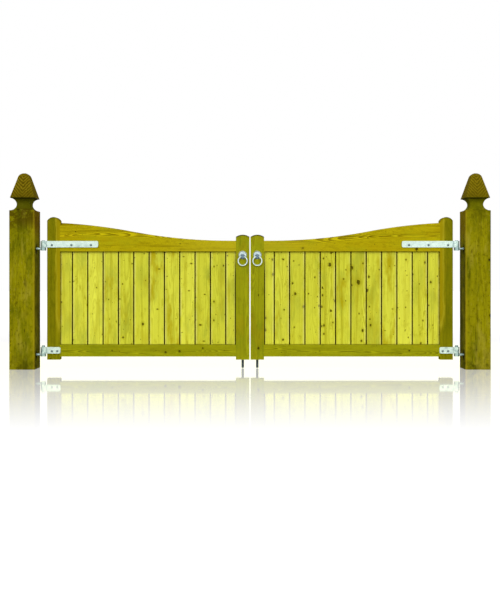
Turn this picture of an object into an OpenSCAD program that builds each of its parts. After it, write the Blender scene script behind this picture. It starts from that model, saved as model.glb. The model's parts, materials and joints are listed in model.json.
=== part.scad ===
// A pair of swept barrow gates between two square posts with coved and domed tops.
// X runs to the right seen from the front, Y away from the viewer and Z up.
// The origin is on the ground, midway between the posts.
// Each sub-part is drawn for the right-hand side and mirrored for the left.

/* [Posts] */
// Clear width between the posts
opening_w = 3008; // [2600:4:3400]
// Side of the square post
post_w = 178; // [165:1:200]
// Height of the square shaft, up to the cove
shaft_h = 1113; // [1105:1:1300]
// Radius of the cove round the neck
cove_r = 44.5; // [36:0.5:48]
// How far the centre of the cove lies outside the face
cove_out = 1.5; // [0:0.5:4]
// Width of the cap at its sharp lower edge
cap_w = 170; // [160:1:176]
// Height of the cap above the cove
cap_h = 178; // [150:1:190]
// Inward lean of the cap's sides, for each millimetre of height
cap_lean = 0.31; // [0.26:0.01:0.34]
// Chamfer along the upright edges of a post
post_chamfer = 3; // [1:0.5:6]

/* [Leaf] */
// Gap between a post and its leaf
hinge_gap = 79; // [72:1:95]
// Gap between the two leaves
meeting_gap = 8; // [6:1:14]
// Setback of the leaf behind the front of the posts
setback = 40; // [30:1:50]
// Thickness of the frame
frame_t = 58; // [50:1:66]
// Height of the stile ends above the ground
ground_gap = 66; // [50:1:90]
// Width of the hinge stile
hinge_stile_w = 90; // [80:1:105]
// Width of the meeting stile
meeting_stile_w = 95; // [85:1:110]
// Rise of the dome on the hinge stile
hinge_dome = 26; // [15:1:34]
// Rise of the dome on the meeting stile
meeting_dome = 15; // [10:1:30]
// Height of the hinge stile above the highest point of the sweep
hinge_horn = 36.5; // [25:0.5:60]
// Height of the meeting stile above the low end of the sweep
meeting_horn = 42; // [30:1:70]

/* [Rails] */
// Height of the bottom rail
bottom_rail_h = 83; // [75:1:110]
// Height of the stile ends below the bottom rail
stile_foot = 22; // [15:1:40]
// Height of the boarded panel between the rails
panel_h = 656; // [600:1:720]
// Height of the top rail beside the meeting stile
rail_low_h = 75; // [68:1:100]
// Fall of the sweep from its crown to its low end
sweep_drop = 129.5; // [90:0.5:160]
// Level length of the rail beside the meeting stile
sweep_level = 41; // [20:1:80]
// How far the crown of the sweep lies outside the leaf
sweep_overrun = 90; // [40:1:140]
// Length of the tenons
tenon_l = 60; // [40:1:70]

/* [Boards] */
// Thickness of a board
board_t = 18; // [14:1:20]
// Visible width of the board beside the hinge stile
hinge_board_w = 84; // [60:1:110]
// Visible width of the board beside the meeting stile
meeting_board_w = 72; // [60:1:110]
// Depth of the V-joint chamfer
v_cut = 3; // [2:0.5:5]
// Shrinkage gap between two boards
board_gap = 3.5; // [1:0.5:5]
// Length of a tongue
tongue_l = 8; // [6:0.5:10]
// Thickness of a tongue
tongue_t = 6; // [4:0.5:7]
// Wood left behind the groove of a board
back_lip = 3; // [2.5:0.5:4]
// Depth of the grooves in the frame
groove_d = 12; // [9:0.5:14]
// Clearance between a board and the bottom of its groove
board_end_clear = 2; // [1:0.5:4]
// Width of the brace behind the boards
brace_w = 70; // [50:1:90]

/* [Hinges] */
// Diameter of a hinge pin
pin_d = 22; // [18:0.5:24]
// Distance from the leaf's edge to the pin's axis
pin_reach = 28.5; // [27.5:0.5:31]
// Width of a hinge band
band_w = 45; // [38:1:50]
// Thickness of a hinge band
band_t = 8; // [6:0.5:9]
// Height of the top band's centre above the top rail's lower edge
top_band_rise = 50; // [45:0.5:56]
// Height of the bottom band's centre above the bottom rail's lower edge
bottom_band_rise = 44.5; // [40:0.5:48]
// Radius of the corners at a band's end
band_corner = 11; // [6:0.5:16]
// Height of the bolts below the band's centre line
bolt_drop = 6; // [0:0.5:8]
// Length of the top band from the pin's axis
top_band_l = 387.5; // [361.5:1:460.5]
// Length of the bottom band from the pin's axis
bottom_band_l = 123.5; // [119.5:1:200.5]
// Distance from the pin's axis to the first bolt
first_bolt = 63.5; // [60:0.5:66]
// Spacing of the bolts in the top band
top_bolt_pitch = 137; // [100:1:140]
// Spacing of the bolts in the bottom band
bottom_bolt_pitch = 38; // [32:1:40]
// Diameter of a band bolt
bolt_d = 8; // [6:0.5:10]
// Diameter of the cup head of a band bolt
bolt_head_d = 17; // [15:0.5:22]
// Diameter of a hook's boss
boss_d = 38; // [34:1:42]
// Height of a hook's boss
boss_h = 21; // [19:1:26]
// Diameter of a hook's shank
shank_d = 16; // [14:0.5:18]
// Depth that a hook's shank is screwed into its post
shank_bite = 120; // [90:1:140]
// Height of the top pin above its eye
top_pin_over = 5; // [3:0.5:20]
// Height of the bottom pin above its eye
bottom_pin_over = 11; // [5:0.5:20]

/* [Ring handle] */
// Diameter of the rose
rose_d = 59; // [55:1:66]
// Thickness of the rose
rose_t = 5; // [4:0.5:7]
// Height of the rose's centre below the top rail's lower edge
rose_drop = 26; // [20:1:60]
// Height of the rose's centre above the ring's pivot
pivot_drop = 10.4; // [8:0.2:11]
// Outer diameter of the ring
ring_d = 72; // [66:1:84]
// Diameter of the ring's round section
ring_section = 9.2; // [7:0.1:10]
// Diameter of the boss that carries the ring
ring_boss_d = 24; // [24:0.5:27]
// Width of the boss across its side flats
ring_boss_w = 18; // [14:0.5:18]

/* [Drop bolt] */
// Diameter of the rod
rod_d = 18; // [14:0.5:18]
// Clearance of the rod's tip above the ground
rod_tip = 2; // [0:0.5:10]
// Thickness of the bracket's plate
plate_t = 4; // [3:0.5:6]
// Width of the bracket's plate
plate_w = 44; // [40:1:56]
// Height of the bracket's plate
plate_h = 420; // [320:1:440]
// Height of the bracket's plate above the stile's end
plate_rise = 114; // [110:1:160]
// Height of a guide
guide_h = 16; // [12:1:24]
// Wall of a guide round the rod
guide_wall = 5; // [3.5:0.5:7]
// Radius of the rod's bend, at the centre of the rod
bend_r = 24; // [20:1:30]
// Length of the straight grip beyond the bend
grip_l = 66; // [50:1:90]

/* [Fixings] */
// Diameter of a wood screw
screw_d = 4.4; // [3.5:0.1:5]
// Diameter of a countersunk screw head
screw_head_d = 8.4; // [7.5:0.1:9]
// Length of a wood screw
screw_l = 30; // [20:1:34]
// Thickness of a washer
washer_t = 3; // [2:0.5:4]

/* [Hidden] */
board_count = 12;
SIDES = ["left", "right"];
LEAF_PARTS = [
    "hinge_stile", "meeting_stile", "top_rail", "bottom_rail", "brace",
    "top_band", "bottom_band", "band_bolts", "ring_rose", "ring_spindle", "spindle_nut",
    "ring", "drop_bolt", "bolt_bracket", "screws"
];
function two_digits(i) = str(i < 10 ? "0" : "", i);
function board_name(side, i) = str(side, "_board_", two_digits(i));

// Running clearances
pin_clear = 0.3;
hook_seat = 0.3;
slot_clear = 0.3;
hole_clear = 0.3;
thread_clear = 0.1;
rod_clear = 0.4;
guide_set = 0.6;
bore_play = 0.3;

// Facets of round parts, for the preview
$fn = 72;

// Post
post_x = (opening_w + post_w) / 2;
cove_z = shaft_h + cove_r;
cap_z = shaft_h + 2 * cove_r;
post_h = cap_z + cap_h;
lean_length = sqrt(1 + cap_lean * cap_lean);
crown_r = (cap_w / 2 - cap_lean * cap_h) / (lean_length - cap_lean);
crown_z = post_h - crown_r;

// Leaf, from the meeting edge to the hinge edge
leaf_x0 = meeting_gap / 2;
leaf_x1 = opening_w / 2 - hinge_gap;
panel_x0 = leaf_x0 + meeting_stile_w;
panel_x1 = leaf_x1 - hinge_stile_w;
meeting_x = leaf_x0 + meeting_stile_w / 2;
frame_y0 = setback - post_w / 2;
frame_y1 = frame_y0 + frame_t;
frame_mid_y = frame_y0 + frame_t / 2;
rail_z0 = ground_gap + stile_foot;
panel_z0 = rail_z0 + bottom_rail_h;
panel_z1 = panel_z0 + panel_h;

// Sweep of the top rail, two equal arcs that meet halfway
sweep_x0 = panel_x0 + sweep_level;
sweep_x1 = leaf_x1 + sweep_overrun;
sweep_z0 = panel_z1 + rail_low_h;
sweep_z1 = sweep_z0 + sweep_drop;
sweep_mid_x = (sweep_x0 + sweep_x1) / 2;
sweep_mid_z = (sweep_z0 + sweep_z1) / 2;
sweep_run = sweep_x1 - sweep_x0;
sweep_steps = 40;
sweep_r = (sweep_run * sweep_run + sweep_drop * sweep_drop) / (4 * sweep_drop);
hinge_top = sweep_z1 + hinge_horn;
meeting_top = sweep_z0 + meeting_horn;

// Tenons stop short of the rail's edges
tenon_shoulder = 10;
tenon_end_clear = 2;
bottom_tenon_h = bottom_rail_h - groove_d - 2 * tenon_shoulder;
top_tenon_z = panel_z1 + groove_d + tenon_shoulder / 2;
meeting_tenon_h = sweep_z0 - tenon_shoulder - top_tenon_z;
hinge_tenon_h = sweep_mid_z + sweep_drop / 4 - tenon_shoulder - top_tenon_z;

// Boards
board_entry = groove_d - board_end_clear;
board_y0 = frame_mid_y - board_t / 2;
board_z0 = panel_z0 - board_entry;
board_h = panel_h + 2 * board_entry;
board_cover = (panel_x1 - panel_x0 - hinge_board_w - meeting_board_w) / (board_count - 2);
function board_edge(i) =
    i == 0 ? panel_x1 :
    i == board_count ? panel_x0 :
    panel_x1 - hinge_board_w - (i - 1) * board_cover;

// Hinges
pin_x = leaf_x1 + pin_reach;
eye_bore_r = pin_d / 2 + pin_clear;
eye_r = eye_bore_r + band_t;
band_y0 = frame_y0 - band_t;
pin_y = band_y0 + eye_r;
top_band_z = panel_z1 + top_band_rise;
bottom_band_z = rail_z0 + bottom_band_rise;
top_bolts = [for (i = [0 : 2]) pin_x - first_bolt - i * top_bolt_pitch];
bottom_bolts = [for (i = [0 : 1]) pin_x - first_bolt - i * bottom_bolt_pitch];
bolt_head_h = 4.5;
bolt_nut_h = 6;
bolt_nut_d = 1.9 * bolt_d;
bolt_washer_d = 2.6 * bolt_d;
bolt_washer_t = 1.6;
bolt_end = 2;
shank_end_clear = 3;
pin_point = 2;

// Ring handle
rose_z = panel_z1 - rose_drop;
pivot_z = rose_z - pivot_drop;
rose_y0 = frame_y0 - rose_t;
rose_edge = rose_t / 2;
rose_rim = 2.4;
rose_rim_t = 0.8 * rose_t;
ring_r = (ring_d - ring_section) / 2;
ring_inner_r = ring_r - ring_section / 2;
ring_bore_r = ring_r - sqrt(ring_inner_r * ring_inner_r - ring_boss_w * ring_boss_w / 4) + bore_play;
ring_y = rose_y0 - ring_bore_r - bore_play;
ring_boss_wall = 3.4;
ring_boss_y0 = ring_y - ring_bore_r - ring_boss_wall;
tail_d = 10;
tail_nut_d = 1.9 * tail_d;
tail_nut_h = 0.8 * tail_d;
tail_washer_d = 2.6 * tail_d;
rose_screw_r = 0.34 * rose_d;

// Drop bolt
plate_z = ground_gap + plate_rise;
plate_y1 = frame_y1 + plate_t;
rod_r = rod_d / 2;
guide_r = rod_r + rod_clear + guide_wall;
rod_y = frame_y1 + guide_set + guide_r;
guide_inset = 15;
low_guide_z = plate_z + guide_inset;
high_guide_z = plate_z + plate_h - guide_h;
collar_z = high_guide_z + guide_h + pin_clear;
collar_step = 4;
collar_r = rod_r + collar_step;
collar_h = 6;
bend_rise = 4;
bend_z = collar_z + collar_h + bend_rise;
rod_point = 3;
plate_screw_inset = 6;
plate_screw_x = plate_w / 2 - plate_screw_inset;

// Colours
post_colour = "#7d760d";
stile_colour = "#8f8f15";
rail_colour = "#a29504";
board_colour = "#c8cb3c";
brace_colour = "#9c9612";
zinc_colour = "#cee4d9";
rod_colour = "#8d9a9a";

// Mirrors a right-hand sub-part to the left
module on_left() {
    mirror([1, 0, 0]) children();
}

// Extrudes an outline drawn in X and Z from its front at y towards the back
module slab(y, t) {
    translate([0, y + t, 0]) rotate([90, 0, 0]) linear_extrude(t) children();
}

// A cylinder along Y, from its front at y towards the back
module along_y(x, y, z, l, d) {
    translate([x, y, z]) rotate([-90, 0, 0]) cylinder(h = l, d = d);
}

// Posts

module chamfered_square(w, c) {
    h = w / 2;
    polygon([
        [c - h, -h], [h - c, -h], [h, c - h], [h, h - c],
        [h - c, h], [c - h, h], [-h, h - c], [-h, c - h]
    ]);
}

module post_outline() {
    crown_x = crown_r / lean_length;
    crown_join = crown_z + crown_x * cap_lean;
    difference() {
        union() {
            translate([-post_w / 2, 0]) square([post_w, cove_z]);
            translate([-cap_w / 2, cove_z]) square([cap_w, cove_r]);
            polygon([
                [-cap_w / 2, cap_z], [cap_w / 2, cap_z], [crown_x, crown_join], [-crown_x, crown_join]
            ]);
            translate([0, crown_z]) circle(crown_r);
        }
        for (s = [-1, 1]) translate([s * (post_w / 2 + cove_out), cove_z]) circle(cove_r);
    }
}

module post_slab() {
    slab(-post_w / 2, post_w) post_outline();
}

module shank_hole(band_z) {
    translate([opening_w / 2 - 1, pin_y, hook_z(band_z)]) rotate([0, 90, 0])
        cylinder(h = shank_bite + shank_end_clear + 1, d = shank_d + 2 * thread_clear);
}

module post() {
    color(post_colour) difference() {
        translate([post_x, 0, 0]) intersection() {
            post_slab();
            rotate([0, 0, 90]) post_slab();
            linear_extrude(post_h) chamfered_square(post_w, post_chamfer);
        }
        shank_hole(top_band_z);
        shank_hole(bottom_band_z);
    }
}

// Hooks

// Height of a shank's axis; the shank is flush with the top of the boss below the eye
function hook_z(band_z) = band_z - band_w / 2 - hook_seat - shank_d / 2;

module hook(band_z, pin_over) {
    pin_h = shank_d / 2 + hook_seat + band_w + pin_over - pin_point;
    shank_l = opening_w / 2 - pin_x + shank_bite;
    color(zinc_colour) translate([pin_x, pin_y, hook_z(band_z)]) {
        translate([0, 0, shank_d / 2 - boss_h]) cylinder(h = boss_h, d = boss_d);
        cylinder(h = pin_h, d = pin_d);
        translate([0, 0, pin_h]) cylinder(h = pin_point, d1 = pin_d, d2 = pin_d - 2 * pin_point);
        rotate([0, 90, 0]) cylinder(h = shank_l, d = shank_d);
    }
}

module top_hook() {
    hook(top_band_z, top_pin_over);
}

module bottom_hook() {
    hook(bottom_band_z, bottom_pin_over);
}

// Frame of a leaf

module stile_blank(x, w, top, rise) {
    r = (w * w / 4 + rise * rise) / (2 * rise);
    slab(frame_y0, frame_t) intersection() {
        translate([x, ground_gap]) square([w, top - ground_gap]);
        union() {
            translate([x, ground_gap]) square([w, top - rise - ground_gap]);
            translate([x + w / 2, top - r]) circle(r, $fn = 180);
        }
    }
}

// A block in the plane of the boards, which grooves, mortises and tenons share
module core_block(x, z, l, h, clear) {
    translate([x - clear, board_y0 - clear, z - clear])
        cube([l + 2 * clear, board_t + 2 * clear, h + 2 * clear]);
}

module panel_groove() {
    core_block(panel_x0 - groove_d, panel_z0 - groove_d, panel_x1 - panel_x0 + 2 * groove_d,
        panel_h + 2 * groove_d, slot_clear);
}

module bottom_tenon(x, extra, clear) {
    core_block(x, rail_z0 + tenon_shoulder, tenon_l + extra, bottom_tenon_h, clear);
}

module top_tenon(x, h, extra, clear) {
    core_block(x, top_tenon_z, tenon_l + extra, h, clear);
}

module band_bolt_holes() {
    d = bolt_d + 2 * hole_clear;
    for (x = top_bolts) along_y(x, band_y0 - 1, top_band_z - bolt_drop, frame_t + band_t + 2, d);
    for (x = bottom_bolts) along_y(x, band_y0 - 1, bottom_band_z - bolt_drop, frame_t + band_t + 2, d);
}

module hinge_stile() {
    color(stile_colour) difference() {
        stile_blank(panel_x1, hinge_stile_w, hinge_top, hinge_dome);
        panel_groove();
        bottom_tenon(panel_x1, tenon_end_clear, slot_clear);
        top_tenon(panel_x1, hinge_tenon_h, tenon_end_clear, slot_clear);
        band_bolt_holes();
    }
}

module meeting_stile() {
    mortise_x = panel_x0 - tenon_l - tenon_end_clear;
    color(stile_colour) difference() {
        stile_blank(leaf_x0, meeting_stile_w, meeting_top, meeting_dome);
        panel_groove();
        bottom_tenon(mortise_x, tenon_end_clear, slot_clear);
        top_tenon(mortise_x, meeting_tenon_h, tenon_end_clear, slot_clear);
        along_y(meeting_x, frame_y0 - 1, pivot_z, frame_t + 2, tail_d + 2 * hole_clear);
        screw_holes();
    }
}

// Height of the sweep at x, hollow up to the middle of its run and convex beyond it
function sweep_at(x) =
    x < sweep_mid_x ?
        sweep_z0 + sweep_r - sqrt(sweep_r * sweep_r - pow(x - sweep_x0, 2)) :
        sweep_z1 - sweep_r + sqrt(sweep_r * sweep_r - pow(sweep_x1 - x, 2));

module sweep_outline() {
    step = (panel_x1 - sweep_x0) / sweep_steps;
    curve = [for (i = [0 : sweep_steps]) let(x = sweep_x0 + i * step) [x, sweep_at(x)]];
    polygon(concat([[panel_x0, panel_z1], [panel_x0, sweep_z0]], curve, [[panel_x1, panel_z1]]));
}

module top_rail() {
    color(rail_colour) difference() {
        union() {
            slab(frame_y0, frame_t) sweep_outline();
            top_tenon(panel_x0 - tenon_l, meeting_tenon_h, 1, 0);
            top_tenon(panel_x1 - 1, hinge_tenon_h, 1, 0);
        }
        panel_groove();
        band_bolt_holes();
    }
}

module bottom_rail() {
    color(rail_colour) difference() {
        union() {
            translate([panel_x0, frame_y0, rail_z0]) cube([panel_x1 - panel_x0, frame_t, bottom_rail_h]);
            bottom_tenon(panel_x0 - tenon_l, 1, 0);
            bottom_tenon(panel_x1 - 1, 1, 0);
        }
        panel_groove();
        band_bolt_holes();
    }
}

// The brace lies against the backs of the boards and is flush with the frame
module brace() {
    rise = panel_h - brace_w;
    run = panel_x1 - panel_x0;
    slope = atan2(rise, run);
    brace_y0 = board_y0 + board_t;
    color(brace_colour) slab(brace_y0, frame_y1 - brace_y0) intersection() {
        translate([panel_x0, panel_z0]) square([run, panel_h]);
        translate([(panel_x0 + panel_x1) / 2, panel_z0 + panel_h / 2]) rotate(-slope)
            square([2 * run, brace_w], center = true);
    }
}

// Boards

module v_notch(x) {
    translate([x, board_y0]) rotate(45) square(v_cut * sqrt(2), center = true);
}

// Boards are counted from the hinge stile, and each has its tongue on the meeting side
module board(i) {
    first = i == 1;
    last = i == board_count;
    x0 = board_edge(i) + (last ? -board_entry : board_gap / 2);
    x1 = board_edge(i - 1) + (first ? board_entry : -board_gap / 2);
    mid_y = board_y0 + board_t - back_lip - tongue_t / 2;
    groove_h = tongue_t + 2 * slot_clear;
    color(board_colour) translate([0, 0, board_z0]) linear_extrude(board_h) difference() {
        union() {
            translate([x0, board_y0]) square([x1 - x0, board_t]);
            if (!last) translate([x0 - tongue_l, mid_y - tongue_t / 2]) square([tongue_l + 1, tongue_t]);
        }
        if (!first) translate([x1 - tongue_l, mid_y - groove_h / 2]) square([tongue_l + 1, groove_h]);
        if (!first) v_notch(x1);
        if (!last) v_notch(x0);
    }
}

// Hinge bands

// Outline of a band seen from the front, with round corners at its end
module band_outline(z, l) {
    straight = band_w / 2 - band_corner;
    translate([pin_x - l, z - straight]) square([l, 2 * straight]);
    translate([pin_x - l + band_corner, z - band_w / 2]) square([l - band_corner, band_w]);
    for (s = [-1, 1]) translate([pin_x - l + band_corner, z + s * straight]) circle(band_corner);
}

module band(z, l) {
    color(zinc_colour) difference() {
        union() {
            slab(band_y0, band_t) band_outline(z, l);
            translate([pin_x, pin_y, z - band_w / 2]) cylinder(h = band_w, r = eye_r);
        }
        translate([pin_x, pin_y, z - band_w / 2 - 1]) cylinder(h = band_w + 2, r = eye_bore_r);
        band_bolt_holes();
    }
}

module top_band() {
    band(top_band_z, top_band_l);
}

module bottom_band() {
    band(bottom_band_z, bottom_band_l);
}

module cup_head(d, h) {
    r = (d * d / 4 + h * h) / (2 * h);
    intersection() {
        translate([0, 0, h - r]) sphere(r);
        cylinder(h = h, d = d);
    }
}

// A cup-headed bolt through the band and the frame, with its nut and washer behind
module band_bolt(x, z) {
    shank = band_t + frame_t + bolt_washer_t + bolt_nut_h + bolt_end;
    translate([x, band_y0, z]) rotate([90, 0, 0]) cup_head(bolt_head_d, bolt_head_h);
    along_y(x, band_y0, z, shank, bolt_d);
    translate([x, frame_y1, z]) rotate([-90, 0, 0]) difference() {
        union() {
            cylinder(h = bolt_washer_t, d = bolt_washer_d);
            cylinder(h = bolt_washer_t + bolt_nut_h, d = bolt_nut_d, $fn = 6);
        }
        translate([0, 0, -1]) cylinder(h = bolt_washer_t + bolt_nut_h + 2, d = bolt_d + 2 * thread_clear);
    }
}

module band_bolts() {
    color(zinc_colour) {
        for (x = top_bolts) band_bolt(x, top_band_z - bolt_drop);
        for (x = bottom_bolts) band_bolt(x, bottom_band_z - bolt_drop);
    }
}

// Ring handle

// Section of the rose: a raised rim, a hollow ring and a raised field
module rose_section() {
    r = rose_d / 2;
    polygon([
        [0, 0], [r, 0], [r, rose_edge], [r - rose_rim / 2, rose_rim_t], [r - rose_rim, rose_edge],
        [r - 1.5 * rose_rim, rose_edge], [r - 2 * rose_rim, rose_t], [0, rose_t]
    ]);
}

module ring_rose() {
    color(zinc_colour) difference() {
        translate([meeting_x, frame_y0, rose_z]) rotate([90, 0, 0]) rotate_extrude() rose_section();
        along_y(meeting_x, rose_y0 - 1, pivot_z, rose_t + 2, tail_d + 2 * hole_clear);
        rose_screw_places() screw_body(thread_clear);
    }
}

// Spindle that carries the ring in a cross bore and passes through the stile
module ring_spindle() {
    boss_l = rose_y0 - ring_boss_y0;
    tail_l = rose_t + frame_t + washer_t + tail_nut_h + bolt_end;
    color(zinc_colour) difference() {
        union() {
            intersection() {
                along_y(meeting_x, ring_boss_y0, pivot_z, boss_l, ring_boss_d);
                translate([meeting_x - ring_boss_w / 2, ring_boss_y0, pivot_z - ring_boss_d / 2])
                    cube([ring_boss_w, boss_l, ring_boss_d]);
            }
            along_y(meeting_x, ring_boss_y0, pivot_z, boss_l + tail_l, tail_d);
        }
        translate([meeting_x - rose_d / 2, ring_y, pivot_z]) rotate([0, 90, 0])
            cylinder(h = rose_d, r = ring_bore_r);
    }
}

module spindle_nut() {
    color(zinc_colour) translate([meeting_x, frame_y1, pivot_z]) rotate([-90, 0, 0]) difference() {
        union() {
            cylinder(h = washer_t, d = tail_washer_d);
            cylinder(h = washer_t + tail_nut_h, d = tail_nut_d, $fn = 6);
        }
        translate([0, 0, -1]) cylinder(h = washer_t + tail_nut_h + 2, d = tail_d + 2 * thread_clear);
    }
}

module ring() {
    color(zinc_colour) translate([meeting_x, ring_y, pivot_z - ring_r]) rotate([90, 0, 0])
        rotate_extrude() translate([ring_r, 0]) circle(d = ring_section);
}

// Drop bolt on the back of the meeting stile

module drop_bolt() {
    color(rod_colour) translate([meeting_x, rod_y, 0]) {
        translate([0, 0, rod_tip]) cylinder(h = rod_point, d1 = rod_d - 2 * rod_point, d2 = rod_d);
        translate([0, 0, rod_tip + rod_point]) cylinder(h = bend_z - rod_tip - rod_point, d = rod_d);
        translate([0, 0, collar_z]) cylinder(h = collar_h, r = collar_r);
        translate([bend_r, 0, bend_z]) rotate([90, 0, 0]) rotate([0, 0, 90])
            rotate_extrude(angle = 90) translate([bend_r, 0]) circle(d = rod_d);
        translate([bend_r, 0, bend_z + bend_r]) rotate([0, 90, 0]) cylinder(h = grip_l, d = rod_d);
        translate([bend_r + grip_l, 0, bend_z + bend_r]) sphere(d = rod_d);
    }
}

module guide(z) {
    translate([meeting_x, rod_y, z]) cylinder(h = guide_h, r = guide_r);
    translate([meeting_x - guide_r, frame_y1, z]) cube([2 * guide_r, rod_y - frame_y1, guide_h]);
}

module bolt_bracket() {
    color(zinc_colour) difference() {
        union() {
            translate([meeting_x - plate_w / 2, frame_y1, plate_z]) cube([plate_w, plate_t, plate_h]);
            guide(low_guide_z);
            guide(high_guide_z);
        }
        translate([meeting_x, rod_y, plate_z - 1]) cylinder(h = plate_h + 2, d = rod_d + 2 * rod_clear);
        plate_screw_places() screw_body(thread_clear);
    }
}

// Screws

// A countersunk wood screw with its head level with z = 0 and its point down
module screw_body(clear) {
    head_h = (screw_head_d - screw_d) / 2;
    translate([0, 0, -screw_l]) cylinder(h = screw_l, d = screw_d + 2 * clear);
    translate([0, 0, -head_h])
        cylinder(h = head_h, d1 = screw_d + 2 * clear, d2 = screw_head_d + 2 * clear);
}

module rose_screw_places() {
    for (a = [90 : 120 : 330]) translate([
        meeting_x + rose_screw_r * cos(a), rose_y0, rose_z + rose_screw_r * sin(a)
    ]) rotate([90, 0, 0]) children();
}

module plate_screw_places() {
    low = low_guide_z + guide_h + screw_head_d;
    high = high_guide_z - screw_head_d;
    for (x = [-plate_screw_x, plate_screw_x]) for (z = [low, (low + high) / 2, high])
        translate([meeting_x + x, plate_y1, z]) rotate([-90, 0, 0]) children();
}

module screw_holes() {
    rose_screw_places() screw_body(thread_clear);
    plate_screw_places() screw_body(thread_clear);
}

module screws() {
    color(zinc_colour) {
        rose_screw_places() screw_body(0);
        plate_screw_places() screw_body(0);
    }
}

on_left() post();  // left_post
post();  // right_post
on_left() top_hook();  // left_top_hook
top_hook();  // right_top_hook
on_left() bottom_hook();  // left_bottom_hook
bottom_hook();  // right_bottom_hook
on_left() hinge_stile();  // left_hinge_stile
hinge_stile();  // right_hinge_stile
on_left() meeting_stile();  // left_meeting_stile
meeting_stile();  // right_meeting_stile
on_left() top_rail();  // left_top_rail
top_rail();  // right_top_rail
on_left() bottom_rail();  // left_bottom_rail
bottom_rail();  // right_bottom_rail
on_left() brace();  // left_brace
brace();  // right_brace
on_left() top_band();  // left_top_band
top_band();  // right_top_band
on_left() bottom_band();  // left_bottom_band
bottom_band();  // right_bottom_band
on_left() band_bolts();  // left_band_bolts
band_bolts();  // right_band_bolts
on_left() ring_rose();  // left_ring_rose
ring_rose();  // right_ring_rose
on_left() ring_spindle();  // left_ring_spindle
ring_spindle();  // right_ring_spindle
on_left() spindle_nut();  // left_spindle_nut
spindle_nut();  // right_spindle_nut
on_left() ring();  // left_ring
ring();  // right_ring
on_left() drop_bolt();  // left_drop_bolt
drop_bolt();  // right_drop_bolt
on_left() bolt_bracket();  // left_bolt_bracket
bolt_bracket();  // right_bolt_bracket
on_left() screws();  // left_screws
screws();  // right_screws
for (i = [1 : board_count]) {
    on_left() board(i);
    board(i);
}
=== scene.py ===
import bmesh
import bpy
import json
import math
import random
from mathutils import Matrix, Vector


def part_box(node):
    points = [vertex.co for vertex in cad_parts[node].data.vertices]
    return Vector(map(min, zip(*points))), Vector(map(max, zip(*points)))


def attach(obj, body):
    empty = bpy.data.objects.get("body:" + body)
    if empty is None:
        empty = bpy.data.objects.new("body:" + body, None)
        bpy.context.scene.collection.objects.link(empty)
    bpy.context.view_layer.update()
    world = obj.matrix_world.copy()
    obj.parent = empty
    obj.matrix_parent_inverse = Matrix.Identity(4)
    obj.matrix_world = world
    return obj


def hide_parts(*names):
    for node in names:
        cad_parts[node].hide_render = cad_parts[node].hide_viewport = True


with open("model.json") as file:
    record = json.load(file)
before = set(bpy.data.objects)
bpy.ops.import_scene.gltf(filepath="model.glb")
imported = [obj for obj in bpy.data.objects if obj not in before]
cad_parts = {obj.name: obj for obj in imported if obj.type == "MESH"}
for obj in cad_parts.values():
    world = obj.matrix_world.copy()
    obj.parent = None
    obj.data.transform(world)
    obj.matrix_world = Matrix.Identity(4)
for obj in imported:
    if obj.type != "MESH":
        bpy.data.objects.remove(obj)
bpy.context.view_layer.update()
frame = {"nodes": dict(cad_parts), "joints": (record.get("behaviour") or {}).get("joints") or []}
NODES = frame["nodes"]
SIDES = {"left": -1, "right": 1}
MM = 0.001


def paint(code):
    """A colour as it looks on a screen, as the linear value that a shader takes."""
    parts = [int(code[i:i + 2], 16) / 255 for i in (1, 3, 5)]
    return tuple(c / 12.92 if c <= 0.04045 else ((c + 0.055) / 1.055) ** 2.4 for c in parts) + (1.0,)


class Value:
    """A shader socket that works in Python expressions: each operator adds its Math node."""

    def __init__(self, finish, socket):
        self.finish = finish
        self.socket = socket

    def output(self, name):
        return Value(self.finish, self.socket.node.outputs[name])

    def math(self, operation, *operands):
        return self.finish.add("ShaderNodeMath", {"operation": operation}, dict(enumerate(operands)))

    def __add__(self, other):
        return self.math("ADD", self, other)

    def __radd__(self, other):
        return self.math("ADD", other, self)

    def __sub__(self, other):
        return self.math("SUBTRACT", self, other)

    def __rsub__(self, other):
        return self.math("SUBTRACT", other, self)

    def __mul__(self, other):
        return self.math("MULTIPLY", self, other)

    def __rmul__(self, other):
        return self.math("MULTIPLY", other, self)

    def __truediv__(self, other):
        return self.math("DIVIDE", self, other)

    def __rtruediv__(self, other):
        return self.math("DIVIDE", other, self)

    def fraction(self):
        return self.math("FRACT", self)

    def root(self):
        return self.math("SQRT", self)

    def wave(self):
        return self.math("SINE", self)

    def largest(self, other):
        return self.math("MAXIMUM", self, other)

    def smallest(self, other):
        return self.math("MINIMUM", self, other)

    def size(self):
        return self.math("ABSOLUTE", self)


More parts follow.
